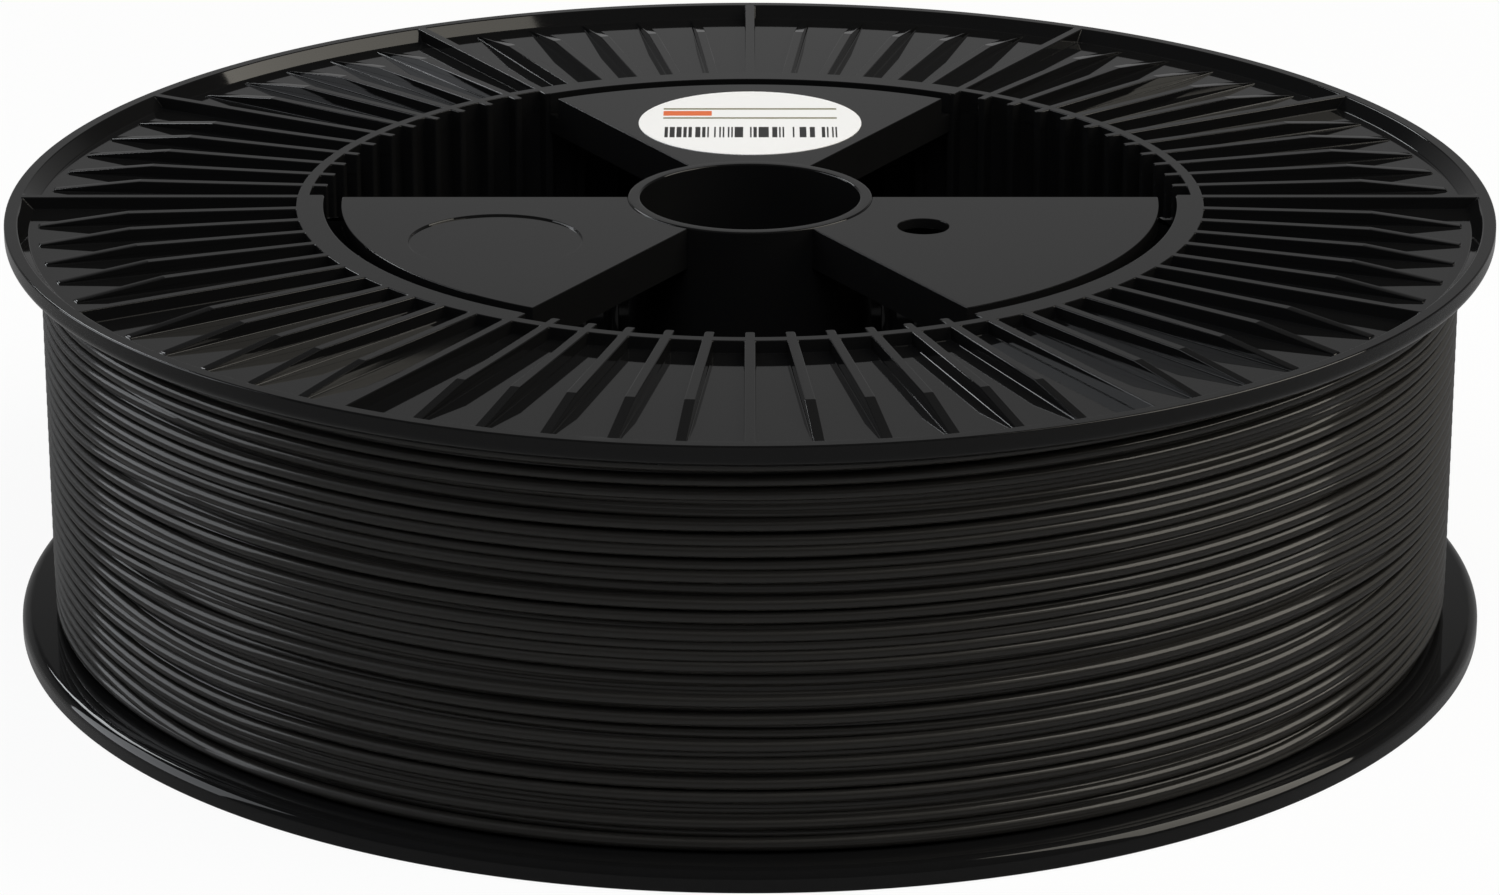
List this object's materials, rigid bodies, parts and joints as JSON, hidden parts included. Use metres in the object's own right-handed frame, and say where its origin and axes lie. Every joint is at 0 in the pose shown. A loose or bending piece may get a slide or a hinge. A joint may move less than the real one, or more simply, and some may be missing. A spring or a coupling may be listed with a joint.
{
  "type": "filament spool",
  "caption": "Large wound filament spool: two ribbed round flanges on a wide barrel, a bored hub held by three closed webs, and a round label.",
  "frame": {"origin": "centre of the spool's lower face, on the spindle axis", "axes": "+Z along the spindle axis, up to the labelled face; +Y towards the web that carries the label, +X towards the middle of the open sector beside the web with the drive hole"},
  "size_m": [0.35, 0.35, 0.101],
  "materials": {
    "spool_plastic": "glossy black moulded plastic",
    "filament": "glossy dark grey extruded plastic",
    "label_paper": "smooth white sticker"
  },
  "bodies": {
    "root": {"upper_flange": "spool_plastic", "upper_barrel": "spool_plastic", "upper_hub": "spool_plastic", "upper_rear_web": "spool_plastic", "upper_left_web": "spool_plastic", "upper_right_web": "spool_plastic", "lower_flange": "spool_plastic", "lower_barrel": "spool_plastic", "lower_hub": "spool_plastic", "lower_rear_web": "spool_plastic", "lower_left_web": "spool_plastic", "lower_right_web": "spool_plastic", "filament_inner_layers": "filament", "filament_outer_layer": "filament", "label": "label_paper"}
  },
  "joints": []
}
